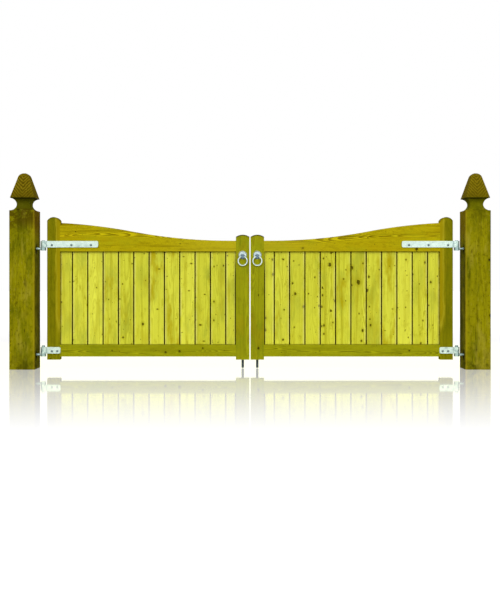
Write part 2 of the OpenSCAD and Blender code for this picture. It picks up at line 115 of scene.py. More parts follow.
class Finish:
    """One node tree, of a material, the world or a row of fixings, while its nodes are added."""

    def __init__(self, tree, owner=None):
        self.owner = owner
        self.tree = tree
        self.tree.nodes.clear()

    def add(self, kind, settings=None, inputs=None, out=0):
        node = self.tree.nodes.new(kind)
        for name, setting in (settings or {}).items():
            setattr(node, name, setting)
        for name, value in (inputs or {}).items():
            socket = node.inputs[name]
            if isinstance(value, Value):
                self.tree.links.new(value.socket, socket)
            else:
                socket.default_value = value
        return Value(self, node.outputs[out]) if node.outputs else node

    def vector(self, x, y, z):
        return self.add("ShaderNodeCombineXYZ", None, {0: x, 1: y, 2: z})

    def split(self, vector):
        parts = self.add("ShaderNodeSeparateXYZ", None, {0: vector})
        return [parts.output(axis) for axis in "XYZ"]

    def shifted(self, vector, offset):
        return self.add("ShaderNodeVectorMath", {"operation": "ADD"}, {0: vector, 1: offset})

    def noise(self, vector, scale, detail=2.0, roughness=0.5):
        sockets = {"Vector": vector, "Scale": scale, "Detail": detail, "Roughness": roughness}
        return self.add("ShaderNodeTexNoise", None, sockets)

    def between(self, value, low, high):
        """Rises smoothly from 0 at low to 1 at high, or falls if low is the greater."""
        sockets = {0: value, 1: low, 2: high, 3: 0.0, 4: 1.0}
        return self.add("ShaderNodeMapRange", {"interpolation_type": "SMOOTHSTEP"}, sockets)

    def band(self, value, start, full, end, gone):
        """Rises from 0 at start to 1 at full, and falls from 1 at end to 0 at gone."""
        return self.between(value, start, full) * self.between(value, gone, end)

    def blend(self, factor, first, second, how="MIX"):
        settings = {"data_type": "RGBA", "blend_type": how}
        return self.add("ShaderNodeMix", settings, {0: factor, 6: first, 7: second}, out=2)

    def bump(self, height, distance, strength):
        sockets = {"Height": height, "Distance": distance, "Strength": strength}
        return self.add("ShaderNodeBump", None, sockets)

    def distance(self, x, y):
        return (x * x + y * y).root()

    def surface(self, shader):
        self.add("ShaderNodeOutputMaterial", None, {"Surface": shader})
        return self.owner


def new_finish(name):
    material = bpy.data.materials.new(name)
    material.use_nodes = True
    return Finish(material.node_tree, material)


# Timber

def palette(early, late, warm, green, knot):
    """The tones of a timber: its spring and summer wood, its warm and green patches, and its knots."""
    return {"early": early, "late": late, "warm": warm, "green": green, "knot": knot}


POST_TONES = palette("#9c950a", "#565002", "#ab9f30", "#5c6204", "#251e02")
OUTER_STILE_TONES = palette("#8c880a", "#625f04", "#8f800a", "#666c07", "#332806")
INNER_STILE_TONES = palette("#a8aa16", "#7d7c0c", "#a8930f", "#7d8912", "#3d2c06")
TOP_RAIL_TONES = palette("#d8c812", "#766202", "#b29a08", "#a5a814", "#3a2a04")
LOW_RAIL_TONES = palette("#b0b016", "#777607", "#a3970e", "#7b870e", "#4a3a08")
BOARD_TONES = palette("#ebec4b", "#aca206", "#baa802", "#b3ba3a", "#463a02")
# Colour of the painted shade along the stiles' domed tops
DOME_EDGE_SHADE = "#2f2306"
KNOT_RIM = "#1a1402"
MATT_WOOD = 0.004
KNOT_SPACING = 0.075
SPECK_SPACING = 0.043
SPECK_GAP = 0.07
SPECK_SIZE = 2.4 * MM
SHOULDER_STAIN = {"left": 0.8, "right": 0.25}
SHOULDER_HEIGHT = 1.113
CAP_HEIGHT = 1.202
CAP_RING = 7.8 * MM
# How far above a hook's lowest point the painted shadow and dirt round its shank is centred
HOOK_SHADE_AND_DIRT_HEIGHT = 10 * MM
BOARD_THICKNESS = 18 * MM
BOARD_COUNT = 12


class Log:
    """The tree that a piece is cut from, and the patterns that follow its grain.
    Its pith passes near centre and runs along Z, turned by lean about Y."""

    def __init__(self, f, here, centre, lean, seed):
        self.f = f
        sockets = {"Vector": here, "Location": centre, "Rotation": (0, lean, 0)}
        place = f.add("ShaderNodeMapping", {"vector_type": "TEXTURE"}, sockets)
        self.across, self.deep, self.along = f.split(place)
        rng = random.Random(seed)
        self.offset = tuple(rng.uniform(-40, 40) for _ in range(3))

    def stretched(self, side, length, scale=1.0, detail=2.0, roughness=0.5):
        """Noise that runs along the grain: side and length say how finely it changes across and along."""
        vector = self.f.vector(self.across * side, self.deep * side, self.along * length)
        return self.f.noise(self.f.shifted(vector, self.offset), scale, detail, roughness)

    def scattered(self, width, height, share, size, shape, solid):
        """Round marks, at most one to a cell: the distance from it in radii, and 1 where a cell has one.
        A solid mark ends inside the log, and any other runs through its depth."""
        f, offset = self.f, self.offset
        depth = self.deep / width + offset[1] if solid else 0.0
        grid = f.vector(self.across / width + offset[0], depth, self.along / height + offset[2])
        cell = f.add("ShaderNodeTexVoronoi", None, {"Vector": grid, "Scale": 1.0}, out="Position")
        spot_x, spot_y, spot_z = f.split(cell)
        chance, girth, _ = f.split(cell.output("Color"))
        dx = self.across - (spot_x - offset[0]) * width
        dz = self.along - (spot_z - offset[2]) * height
        away = dx * dx + dz * dz * shape
        if solid:
            dy = self.deep - (spot_y - offset[1]) * width
            away = away + dy * dy
        present = f.between(chance, 1.0 - share, 1.01 - share)
        return away.root() / (girth * girth * size + size * 0.5), present

    def summer_wood(self, pith, ring, taper, sway, swerve):
        """1 in the dark part of each growth ring. The rings bend aside where swerve is 1, round a knot."""
        f = self.f
        wander = self.stretched(6.0, 1.7, detail=4.0, roughness=0.6)
        sway_x, sway_y, _ = f.split(self.stretched(3.0, 1.1, scale=0.8, detail=3.0).output("Color"))
        out_x = self.across + (sway_x - 0.5) * sway
        out_y = self.deep + (sway_y - 0.5) * sway + pith
        out = f.distance(out_x, out_y) + self.along * taper + swerve * swerve * ring * 1.7
        season = (out / ring + wander * 2.2).fraction()
        return f.band(season, 0.25, 0.86, 0.92, 1.0)

    def clear_wood(self, tones, late, figure, streaks, blotch, warmth):
        """The colour between the knots: rings, dark streaks, green and dark patches, and warm ones."""
        f = self.f
        streak = self.stretched(46.0, 1.5, detail=3.0, roughness=0.6)
        patch = self.stretched(7.0, 2.6, detail=5.0, roughness=0.65)
        glow = self.stretched(13.0, 3.6, detail=4.0, roughness=0.6)
        cloud = self.stretched(30.0, 10.0, detail=4.0, roughness=0.7)
        dusk = f.between(cloud, 0.5, 0.7) * f.between(patch, 0.6, 0.4)
        colour = f.blend(late * figure, paint(tones["early"]), paint(tones["late"]))
        colour = f.blend(f.between(streak, 0.48, 0.72) * streaks, colour, paint(tones["late"]))
        colour = f.blend(f.between(patch, 0.48, 0.68) * blotch, colour, paint(tones["green"]))
        colour = f.blend(dusk * blotch, colour, paint(tones["late"]))
        return f.blend(f.between(glow, 0.5, 0.68) * warmth, colour, paint(tones["warm"]))

    def mottled(self, colour, tones, share):
        """Adds small dark and warm blots."""
        f = self.f
        blot = self.stretched(55.0, 32.0, detail=4.0, roughness=0.7)
        colour = f.blend(f.between(blot, 0.52, 0.7) * share, colour, paint(tones["late"]))
        return f.blend(f.between(blot, 0.46, 0.3) * share * 0.6, colour, paint(tones["warm"]))

    def drying_cracks(self, share):
        """Fine cracks that open along the grain, here and there."""
        f = self.f
        split = self.stretched(60.0, 1.9, detail=2.0, roughness=0.4)
        place = self.stretched(7.0, 3.0, detail=1.0)
        return f.between((split - 0.5).size(), 0.012, 0.004) * f.between(place, 0.54, 0.64) * share


def timber(name, tones, seed, centre, lean=0.0, pith=0.06, ring=4 * MM, taper=0.02, sway=0.08,
           figure=0.4, streaks=0.4, blotch=0.4, warmth=0.4, mottle=0.0, checks=0.0,
           knots=0.4, knot_size=5 * MM, knot_gap=0.13, knot_shape=0.6, solid_knots=False, extra=None):
    """Treated softwood, with real rings about its pith, so each face shows the figure it would be cut with.
    extra adds a piece's own marks: it takes the finish, its place and its colour, and gives the colour."""
    f = new_finish(name)
    here = f.add("ShaderNodeTexCoord", out="Object")
    log = Log(f, here, centre, lean, seed)

    # Knots, which the rings swerve round, and small specks
    ragged = log.stretched(160.0, 90.0, detail=2.0) - 0.5
    ratio, present = log.scattered(KNOT_SPACING, knot_gap, knots, knot_size, knot_shape, solid_knots)
    ratio = ratio + ragged * 1.1
    knot = f.between(ratio, 1.25, 0.8) * present
    halo = f.between(ratio, 3.4, 0.9) * present
    rim = f.band(ratio, 0.7, 0.95, 1.05, 1.3) * present
    knot_rings = (ratio * 14.0).wave() * 0.16 + 0.84
    speck_ratio, speck_present = log.scattered(SPECK_SPACING, SPECK_GAP, knots * 0.55, SPECK_SIZE,
                                               knot_shape, solid_knots)
    speck = f.between(speck_ratio + ragged * 1.6, 1.4, 0.5) * speck_present

    # Colour and relief
    late = log.summer_wood(pith, ring, taper, sway, halo)
    colour = log.clear_wood(tones, late, figure, streaks, blotch, warmth)
    if mottle:
        colour = log.mottled(colour, tones, mottle)
    colour = f.blend(halo * 0.45, colour, paint(tones["late"]))
    colour = f.blend(speck * 0.75, colour, paint(tones["knot"]))
    colour = f.blend(knot * knot_rings, colour, paint(tones["knot"]))
    colour = f.blend(rim * 0.7, colour, paint(KNOT_RIM))
    fibre = log.stretched(520.0, 8.0, detail=3.0, roughness=0.7)
    shade = fibre * 0.4 + 0.8
    colour = f.blend(1.0, colour, f.vector(shade, shade, shade), "MULTIPLY")
    height = fibre * 0.5 + late * 0.45 + knot * 0.6
    if checks:
        crack = log.drying_cracks(checks)
        colour = f.blend(crack * 0.85, colour, paint(tones["knot"]))
        height = height - crack * 2.0
    if extra:
        colour = extra(f, here, colour)
    shader = f.add("ShaderNodeBsdfPrincipled", None, {
        "Base Color": colour,
        "Roughness": 0.74 + fibre * 0.14 - late * 0.06,
        "Specular IOR Level": MATT_WOOD,
        "Normal": f.bump(height, 0.5 * MM, 0.7),
    })
    return f.surface(shader)


def stile_marks(node, rise, pale_edge, rim):
    """Paints shade along the rounded edge of a stile's domed top, as strong as rim.
    pale_edge is the width of a golden band on the panel's side, which fades towards the foot."""
    low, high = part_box(node)
    middle_x = (low.x + high.x) / 2
    half = (high.x - low.x) / 2
    radius = (half * half + rise * rise) / (2 * rise)
    inward = -1.0 if middle_x > 0 else 1.0

    def mark(f, here, colour):
        x, _, z = f.split(here)
        dx = x - middle_x
        if pale_edge:
            # A golden band along the panel's side, with a paler line where it begins, fading towards the
            # foot
            waver = f.noise(f.vector(x * 60.0, 0.0, z * 6.0), 1.0, 4.0, 0.6)
            start = half - pale_edge
            golden_band = f.between(dx * inward + (waver - 0.5) * 45 * MM, start - 20 * MM, start + 20 * MM)
            golden_band = golden_band * f.between(z, 0.12, 0.45)
            colour = f.blend(golden_band * 0.75, colour, paint("#b09c0c"))
            colour = f.blend(f.band(golden_band, 0.3, 0.6, 0.6, 0.9) * 0.4, colour, paint("#c9bc2c"))
        # Painted shade along the dome's rounded edge, where it turns from the light
        dz = z - (high.z - radius)
        edge = f.between(f.distance(dx, dz), radius - 12 * MM, radius - 1 * MM)
        above = f.between(z, high.z - rise - 12 * MM, high.z - rise)
        return f.blend(edge * above * rim, colour, paint(DOME_EDGE_SHADE))
    return mark


def post_marks(node, hooks, stained):
    """A stained shoulder, a foot darker towards the bottom, a painted highlight on the front's inner edge
    and painted shade on the inner side, chevrons of rings on the cap, a dark neck, painted shade under the
    cap's lip, and painted shadow and dirt by the hooks.
    stained says how dark the shoulder is."""
    shoulder, cap = SHOULDER_HEIGHT, CAP_HEIGHT
    place = middle(node)
    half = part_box(node)[1].x - place.x
    inward = -1.0 if place.x > 0 else 1.0

    def mark(f, here, colour):
        x, y, z = f.split(here)
        dx = (x - place.x).size()
        dy = (y - place.y).size()
        inner = (x - place.x) * inward
        stain = f.noise(here, 13.0, 4.0, 0.65)

        # Shaft
        below = f.between(z, shoulder - 0.18, shoulder - 0.05)
        colour = f.blend(below * f.between(stain, 0.4, 0.54) * stained, colour, paint("#4a3a03"))
        # The foot darkens towards the bottom
        foot = f.between(z, 0.22, 0.0) * f.between(stain, 0.4, 0.62) + f.between(z, 0.1, 0.0) * 0.5
        colour = f.blend(foot * 0.5, colour, paint("#3c3a04"))
        # Painted highlight: a golden strip on the front face along its inner edge, where the arris catches
        # the light
        front_only = f.between(dx, half - 0.3 * MM, half - 0.8 * MM)
        lit_arris_highlight = f.between(inner, half - 16 * MM, half - 7 * MM) * front_only
        colour = f.blend(lit_arris_highlight * 0.42, colour, paint("#a8921a"))
        # Painted shade: the inner side face darkens towards the bottom; near its top it is browner
        side = f.between(inner, half - 0.8 * MM, half - 0.3 * MM)
        shade = f.between(z, 0.95, 0.8) * (f.between(stain, 0.3, 0.6) * 0.35 + 0.3)
        colour = f.blend(side * shade, colour, paint("#34320a"))
        colour = f.blend(side * f.between(z, 0.85, 1.0) * 0.5, colour, paint("#76540a"))

        # Cap and neck
        outline = dx.largest(dy) + dx.smallest(dy) * 0.35
        season = (outline / CAP_RING + stain * 1.2 + f.noise(here, 70.0, 3.0) * 0.9).fraction()
        head = f.between(z, cap - 1 * MM, cap + 4 * MM)
        pale = f.band(season, 0.1, 0.5, 0.55, 0.95) * (f.between(z, cap, cap + 0.08) * 0.6 + 0.4)
        patchy = f.between(stain, 0.25, 0.5) * 0.5 + 0.5
        colour = f.blend(head * 0.85, colour, paint("#594b04"))
        colour = f.blend(head * pale * patchy * 0.6, colour, paint("#a08a18"))
        neck = f.band(z, shoulder, shoulder + 25 * MM, cap, cap + 6 * MM)
        colour = f.blend(neck * 0.6, colour, paint("#575c05"))
        # Painted shade: a dark band under the cap's lip
        lip = f.band(z, cap - 9 * MM, cap - 2 * MM, cap + 1 * MM, cap + 5 * MM)
        colour = f.blend(lip * 0.7, colour, paint("#1c1a02"))

        # Hooks: painted shadow and dirt round each shank
        on_side = f.between(inner, half - 3 * MM, half - 1 * MM)
        for hook_y, hook_z in hooks:
            ey = y - hook_y
            ez = z - hook_z
            shade_and_dirt = f.between((ey * ey + ez * ez * 0.5).root() + stain * 14 * MM, 44 * MM, 18 * MM)
            colour = f.blend(shade_and_dirt * 0.95 * on_side, colour, paint("#141502"))
        return colour
    return mark


def rail_marks(start, end):
    """Paler towards the meeting stile, where the top rail is narrow."""
    def mark(f, here, colour):
        x, _, _ = f.split(here)
        return f.blend(f.between(x, start, end) * 0.4, colour, paint("#cdc028"))
    return mark


def board_marks(node, front, panel):
    """A painted highlight along the boards' edges, painted shade in the joints, painted shade and dirt at
    the panel's frame, and the painted shadow by the meeting stile.
    """
    left, right, bottom, top = panel
    low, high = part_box(node)
    centre_x = (max(low.x, left) + min(high.x, right)) / 2
    half = (min(high.x, right) - max(low.x, left)) / 2
    meeting = min(abs(left), abs(right))

    def mark(f, here, colour):
        x, y, z = f.split(here)
        # Painted highlight: a pale band along each edge of a board, beside the joints
        margin = half - (x - centre_x).size()
        pale = f.between(margin, 17 * MM, 8 * MM) * f.between(f.noise(here, 9.0, 3.0), 0.3, 0.6)
        colour = f.blend(pale * 0.4, colour, paint("#f2ee84"))
        # Painted shade and dirt in the corners where the boards meet the frame
        edge_x = (right - left) / 2 - (x - (left + right) / 2).size()
        edge_z = (top - bottom) / 2 - (z - (bottom + top) / 2).size()
        shade_and_dirt = f.between(edge_x, 8 * MM, 2 * MM).largest(f.between(edge_z, 7 * MM, 1 * MM))
        colour = f.blend(shade_and_dirt * (f.noise(here, 60.0, 3.0) * 0.9 + 0.1), colour, paint("#4a3806"))
        shadow = f.between(x.size(), meeting + 8 * MM, meeting + 6 * MM)
        shadow = shadow * f.between(z, top - 0.04, top - 0.18)
        colour = f.blend(shadow * 0.95, colour, paint("#141000"))
        # Painted shade in the grooves between the boards: the bevels darken, and the slots deeper in are
        # near black
        depth = y - front
        bevel = f.band(depth, 0.05 * MM, 0.6 * MM, BOARD_THICKNESS - 0.3 * MM, BOARD_THICKNESS - 0.1 * MM)
        slot = f.band(depth, 0.6 * MM, 1.6 * MM, BOARD_THICKNESS - 0.6 * MM, BOARD_THICKNESS - 0.2 * MM)
        colour = f.blend(bevel * 0.8, colour, paint("#6e6200"))
        return f.blend(slot * 0.97, colour, paint("#221900"))
    return mark


# Metal

def zinc(name, seed, light="#d4e7dc", dark="#9fb6af", stain="#728580", extra=None):
    """Hot-dip galvanising: a pale skin of large flat crystals, with grey run marks."""
    f = new_finish(name)
    here = f.add("ShaderNodeTexCoord", out="Object")
    spot = f.shifted(here, (seed * 1.7, seed * 0.9, seed * 2.3))
    crystal = f.add("ShaderNodeTexVoronoi", None, {"Vector": spot, "Scale": 190.0}, out="Color")
    flake, _, _ = f.split(crystal)
    cloud = f.noise(spot, 24.0, 4.0, 0.6)
    grain = f.noise(spot, 900.0, 2.0, 0.6)
    colour = f.blend(flake * 0.35 + f.between(cloud, 0.35, 0.75) * 0.45, paint(light), paint(dark))
    colour = f.blend(f.between(cloud, 0.62, 0.76) * 0.6, colour, paint(stain))
    if extra:
        colour = extra(f, here, colour)
    shader = f.add("ShaderNodeBsdfPrincipled", None, {
        "Base Color": colour,
        "Metallic": 0.55,
        "Roughness": 0.34 + flake * 0.12 + cloud * 0.12,
        "Normal": f.bump(cloud * 0.6 + grain * 0.25 + flake * 0.1, 0.25 * MM, 0.6),
    })
    return f.surface(shader)


def worn_steel(name, seed, body, rubbed, dull):
    """Dull plated steel, rubbed brighter in fine streaks along its length."""
    f = new_finish(name)
    here = f.add("ShaderNodeTexCoord", out="Object")
    spot = f.shifted(here, (seed * 2.1, seed * 1.3, 0.0))
    x, y, z = f.split(spot)
    rub = f.noise(f.vector(x * 260.0, y * 260.0, z * 8.0), 1.0, 3.0, 0.6)
    cloud = f.noise(spot, 30.0, 4.0, 0.6)
    colour = f.blend(f.between(rub, 0.45, 0.75) * 0.5, paint(body), paint(rubbed))
    colour = f.blend(f.between(cloud, 0.55, 0.75) * 0.5, colour, paint(dull))
    shader = f.add("ShaderNodeBsdfPrincipled", None, {
        "Base Color": colour,
        "Metallic": 0.4,
        "Roughness": 0.4 + cloud * 0.2,
        "Normal": f.bump(rub * 0.5 + cloud * 0.5, 0.15 * MM, 0.5),
    })
    return f.surface(shader)


def rose_marks(rose, spindle):
    """Painted shade in the rose's hollow, round its boss and in clouds over its field, and a painted
    highlight on its rim.
    """
    centre = middle(rose)
    pivot = middle(spindle)

    def mark(f, here, colour):
        x, _, z = f.split(here)
        out = f.distance(x - centre.x, z - centre.z)
        # Painted shade in the hollow, round the boss and in clouds over the field
        hollow = f.band(out, 24.4 * MM, 25.6 * MM, 27.4 * MM, 28.6 * MM)
        near_boss = f.between(f.distance(x - pivot.x, z - pivot.z), 21 * MM, 12 * MM)
        shadow = near_boss * f.between(out, 26 * MM, 24 * MM)
        field = f.between(out, 25 * MM, 22 * MM) * f.between(f.noise(here, 90.0, 3.0), 0.3, 0.65)
        colour = f.blend(field * 0.65, colour, paint("#7b98a8"))
        colour = f.blend(shadow * 0.9, colour, paint("#2c3f4c"))
        # Painted highlight: the rim is near white
        colour = f.blend(f.between(out, 27.0 * MM, 28.6 * MM), colour, paint("#f2fbf6"))
        return f.blend(hollow * 0.85, colour, paint("#35444a"))
    return mark


def bore_marks(spindle, bore):
    """Painted shade in the bore that a ring hangs in, and a worn pale mouth."""
    pivot = middle(spindle)

    def mark(f, here, colour):
        _, y, z = f.split(here)
        out = f.distance(y - bore.y, z - pivot.z)
        colour = f.blend(f.between(out, 9.5 * MM, 7.5 * MM) * 0.5, colour, paint("#8ea3a8"))
        # Painted shade inside the bore
        return f.blend(f.between(out, 7.0 * MM, 6.6 * MM) * 0.9, colour, paint("#263034"))
    return mark


def eye_marks(pin_x):
    """Runs of duller zinc on a band's rolled eye, which also stand for painted shade on its curve, with a
    line of painted shade where the roll closes on the strap.
    """
    def mark(f, here, colour):
        x, _, z = f.split(here)
        out = (x - pin_x).size()
        # Runs of duller zinc on the eye, also standing for painted shade on its curve
        eye = f.between(out, 44 * MM, 26 * MM)
        runs = f.noise(f.vector(x * 60.0, 0.0, z * 45.0), 1.0, 4.0, 0.65)
        colour = f.blend(eye * f.between(runs, 0.44, 0.6) * 0.75, colour, paint("#7f9a9c"))
        # Painted shade in the crease where the roll closes on the strap
        seam = f.band(out, 21.5 * MM, 23 * MM, 25 * MM, 26.5 * MM)
        return f.blend(seam * 0.6, colour, paint("#4d6468"))
    return mark


def dress(node, material):
    """Gives a CAD node its material in place of the plain one."""
    slots = NODES[node].data.materials
    slots.clear()
    slots.append(material)


def middle(node):
    low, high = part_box(node)
    return (low + high) / 2


def dress_posts():
    for number, side in enumerate(SIDES):
        node = f"{side}_post"
        place = middle(node)
        centre = (place.x + 0.012 * SIDES[side], place.y - 0.006, 0.7)
        hooks = []
        for hook in (f"{side}_top_hook", f"{side}_bottom_hook"):
            hooks.append((middle(hook).y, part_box(hook)[0].z + HOOK_SHADE_AND_DIRT_HEIGHT))
        dress(node, timber(f"{node}_timber", POST_TONES, 11 + number, centre,
                           pith=0.0, ring=4.2 * MM, taper=0.004, sway=0.05,
                           figure=0.25, streaks=0.35, blotch=0.85, warmth=0.6, mottle=0.7, checks=0.8,
                           knots=0.3, knot_size=8 * MM, solid_knots=True,
                           extra=post_marks(node, hooks, SHOULDER_STAIN[side])))


def panel_of(side):
    """The edges of the boarded panel, seen from the front: left, right, bottom and top."""
    stiles = [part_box(f"{side}_{part}") for part in ("hinge_stile", "meeting_stile")]
    stiles.sort(key=lambda pair: pair[0].x)
    bottom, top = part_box(f"{side}_bottom_rail")[1].z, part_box(f"{side}_top_rail")[0].z
    return stiles[0][1].x, stiles[1][0].x, bottom, top


def dress_leaf(side, seed):
    dress_stiles(side, seed)
    dress_rails(side, seed + 5)
    dress_brace(side, seed + 9)
    dress_boards(side, seed)


def dress_stiles(side, seed):
    stiles = (("hinge_stile", OUTER_STILE_TONES, 26 * MM, 27 * MM, 0.45),
              ("meeting_stile", INNER_STILE_TONES, 15 * MM, 0.0, 0.9))
    for number, (part, tones, rise, pale_edge, rim) in enumerate(stiles):
        node = f"{side}_{part}"
        place = middle(node)
        centre = (place.x - SIDES[side] * 0.03, place.y, 0.5)
        dress(node, timber(f"{node}_timber", tones, seed + number, centre,
                           pith=0.08, taper=0.012, knots=0.15,
                           figure=0.5, streaks=0.5, blotch=0.6, checks=0.4, mottle=0.3,
                           extra=stile_marks(node, rise, pale_edge, rim)))


def dress_rails(side, seed):
    paler = rail_marks(SIDES[side] * 0.7, SIDES[side] * 0.15)
    rails = (("top_rail", TOP_RAIL_TONES, paler), ("bottom_rail", LOW_RAIL_TONES, None))
    for number, (part, tones, marks) in enumerate(rails):
        node = f"{side}_{part}"
        dress(node, timber(f"{node}_timber", tones, seed + number, tuple(middle(node)),
                           lean=math.pi / 2, pith=0.055, taper=0.01, sway=0.13,
                           figure=0.85, streaks=0.6, blotch=0.55, warmth=0.45, mottle=0.3,
                           knots=0.45, knot_size=4.5 * MM, knot_gap=0.2, knot_shape=1.0, extra=marks))


def dress_brace(side, seed):
    brace = f"{side}_brace"
    low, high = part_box(brace)
    slope = math.atan2(high.z - low.z, high.x - low.x)
    lean = math.pi / 2 + SIDES[side] * slope
    centre = tuple(middle(brace))
    dress(brace, timber(f"{brace}_timber", LOW_RAIL_TONES, seed, centre, lean=lean, knots=0.3))


def dress_boards(side, seed):
    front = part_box(f"{side}_board_06")[0].y
    panel = panel_of(side)
    for number in range(1, BOARD_COUNT + 1):
        node = f"{side}_board_{number:02d}"
        place = middle(node)
        rng = random.Random(seed * 31 + number)
        centre = (place.x + rng.uniform(-0.07, 0.07), place.y, 0.5)
        dress(node, timber(f"{node}_timber", board_tones(rng), seed * 50 + number, centre,
                           pith=rng.choice((-1, 1)) * rng.uniform(0.02, 0.11),
                           taper=rng.uniform(-0.02, 0.02),
                           figure=rng.uniform(0.12, 0.4), streaks=rng.uniform(0.25, 0.6),
                           blotch=rng.uniform(0.35, 0.8), warmth=rng.choice((0.2, 0.35, 0.85)),
                           knots=0.6, knot_size=rng.uniform(3.0, 7.0) * MM, knot_gap=0.12,
                           knot_shape=rng.choice((0.5, 1.0, 3.0)), extra=board_marks(node, front, panel)))


def board_tones(rng):
    """The boards' tones, all made a little lighter or darker by chance."""
    tones = dict(BOARD_TONES)
    light = rng.uniform(-9, 7)
    for part in ("early", "late", "green"):
        code = tones[part]
        values = [max(0, min(255, round(int(code[i:i + 2], 16) + light))) for i in (1, 3, 5)]
        tones[part] = "#%02x%02x%02x" % tuple(values)
    return tones


def dress_metal():
    bolt_steel = worn_steel("bolt_steel", 9.0, "#6f7f80", "#98a6a4", "#4a5658")
    for number, side in enumerate(SIDES):
        finish = zinc(f"{side}_galvanising", 3.0 + number)
        dress_hinges(side, number)
        dress_ring_handle(side, number)
        dress_drop_bolt(side, number, finish)
        seed = 10 * number + 3
        fit_bolts(side, seed, bolt_steel)
        fit_screws(side, seed + 1, finish)
        fit_spindle_nut(side, finish)


def dress_hinges(side, number):
    """The bands, with marks on their eyes, and the hooks, whose zinc is made darker as painted shade."""
    pin_x = next(joint["pos_m"][0] for joint in frame["joints"] if joint["child"] == f"{side}_leaf")
    band = zinc(f"{side}_band_galvanising", 3.0 + number, extra=eye_marks(pin_x))
    # The hooks' zinc is darker: painted shade
    hook = zinc(f"{side}_hook_shaded_galvanising", 5.0 + number, "#aec6c2", "#728c8b", "#4c5f60")
    for place in ("top", "bottom"):
        dress(f"{side}_{place}_band", band)
        dress(f"{side}_{place}_hook", hook)


def dress_ring_handle(side, number):
    rose, spindle, ring = f"{side}_ring_rose", f"{side}_ring_spindle", f"{side}_ring"
    dress(ring, zinc(f"{side}_ring_galvanising", 7.0 + number, "#dfeeea", "#9db1b2", "#5f7276"))
    dress(rose, zinc(f"{side}_rose_galvanising", 9.0 + number, "#e6f4f2", "#b2c6c4",
                     extra=rose_marks(rose, spindle)))
    # The spindle's zinc is dark: painted shade round the ring's boss
    dress(spindle, zinc(f"{side}_spindle_shaded_galvanising", 11.0 + number, "#6f8796", "#465a68", "#2a3842",
                        extra=bore_marks(spindle, middle(ring))))


def dress_drop_bolt(side, number, finish):
    """The bolt's bracket, in the finish given, and its rod, whose steel has lost its shine."""
    dress(f"{side}_bolt_bracket", finish)
    rod = worn_steel(f"{side}_rod_steel", 5.0 + number, "#38454a", "#66767b", "#283337")
    dress(f"{side}_drop_bolt", rod)


# Fixings

# Heads, washers and nuts are a radius and a height
CUP_HEAD = (8.5 * MM, 4.5 * MM)
BOLT_RADIUS = 4 * MM
WASHER = (10.4 * MM, 1.6 * MM)
NUT = (7.6 * MM, 6 * MM)
SPINDLE_RADIUS = 5 * MM
SPINDLE_WASHER = (13 * MM, 3 * MM)
SPINDLE_NUT = (9.5 * MM, 8 * MM)
SCREW_HEAD = (4.2 * MM, 2 * MM)
SCREW_RADIUS = 2.2 * MM
SCREW_LENGTH = 30 * MM
SCREW_NECK = 1 * MM
SCREW_POINT = 4 * MM
SCREW_SINK = 0.1 * MM
MOST_TURN = math.pi
RECESS_ARM = 2.5 * MM
RECESS_HALF_WIDTH = 0.45 * MM
RECESS_TAPER = 0.45
RECESS_HEIGHT = 3 * MM
BOLT_PITCH = 1.25 * MM
SCREW_PITCH = 2 * MM
THREAD_ROOT = 0.84
ON_AXIS = 1e-6
SAME_POINT = 0.01 * MM


def turned(shape, profile, sides=24, turn=0.0):
    """Adds a closed shape turned about Z to a mesh, from the radii and heights round its section."""
    rings = []
    for radius, height in profile:
        if radius < ON_AXIS:
            rings.append([shape.verts.new((0.0, 0.0, height))] * sides)
            continue
        angles = [turn + 2 * math.pi * i / sides for i in range(sides)]
        circle = [(radius * math.cos(a), radius * math.sin(a), height) for a in angles]
        rings.append([shape.verts.new(point) for point in circle])
    closed = profile[0][0] > ON_AXIS
    pairs = list(zip(rings, rings[1:])) + ([(rings[-1], rings[0])] if closed else [])
    for near, far in pairs:
        for i in range(sides):
            corners = [near[i], near[(i + 1) % sides], far[(i + 1) % sides], far[i]]
            corners = list(dict.fromkeys(corners))
            if len(corners) > 2:
                shape.faces.new(corners)


def threads(radius, start, end, pitch):
    """Section of a threaded length: a crest and a root for each pitch."""
    count = max(1, round(abs(end - start) / pitch))
    step = (end - start) / count
    points = []
    for i in range(count):
        points += [(radius * THREAD_ROOT, start + step * i), (radius, start + step * (i + 0.5))]
    return points + [(radius * THREAD_ROOT, end)]


def dome(radius, rise, steps=5):
    """Section of a shallow dome, from its top to its edge."""
    ball = (radius * radius + rise * rise) / (2 * rise)
    spread = math.asin(radius / ball)
    angles = [spread * i / steps for i in range(steps + 1)]
    return [(ball * math.sin(a), rise - ball * (1 - math.cos(a))) for a in angles]


def nut_shapes(shape, washer, nut, bore, base):
    """A washer and a chamfered hexagon nut on it, standing from base towards the bolt's end at -Z."""
    (washer_r, washer_t), (nut_r, nut_h) = washer, nut
    top = base - washer_t
    bottom = top - nut_h
    eased = 0.3 * MM
    turned(shape, [(bore, base), (washer_r - eased, base), (washer_r, base - eased),
                   (washer_r, top + eased), (washer_r - eased, top), (bore, top)])
    inset = 0.9 * MM
    chamfer = 0.6 * MM
    mouth = bore * 1.25
    turned(shape, [(mouth, top), (nut_r - inset, top), (nut_r, top - chamfer), (nut_r, bottom + chamfer),
                   (nut_r - inset, bottom), (mouth, bottom)], 6, math.pi / 6)


def finished_mesh(shape, name, material):
    bmesh.ops.recalc_face_normals(shape, faces=shape.faces)
    mesh = bpy.data.meshes.new(name)
    shape.to_mesh(mesh)
    shape.free()
    mesh.materials.append(material)
    return mesh


def cup_bolt(length, grip, material):
    """A cup-headed bolt along Z, seated at 0, with its washer and nut behind what it grips."""
    shape = bmesh.new()
    radius, rise = CUP_HEAD
    start = -grip - WASHER[1]
    head = dome(radius, rise) + [(BOLT_RADIUS, 0.0), (BOLT_RADIUS, start)]
    turned(shape, head + threads(BOLT_RADIUS, start, -length, BOLT_PITCH) + [(0.0, -length)])
    nut_shapes(shape, WASHER, NUT, BOLT_RADIUS, -grip)
    return finished_mesh(shape, "cup_bolt", material)


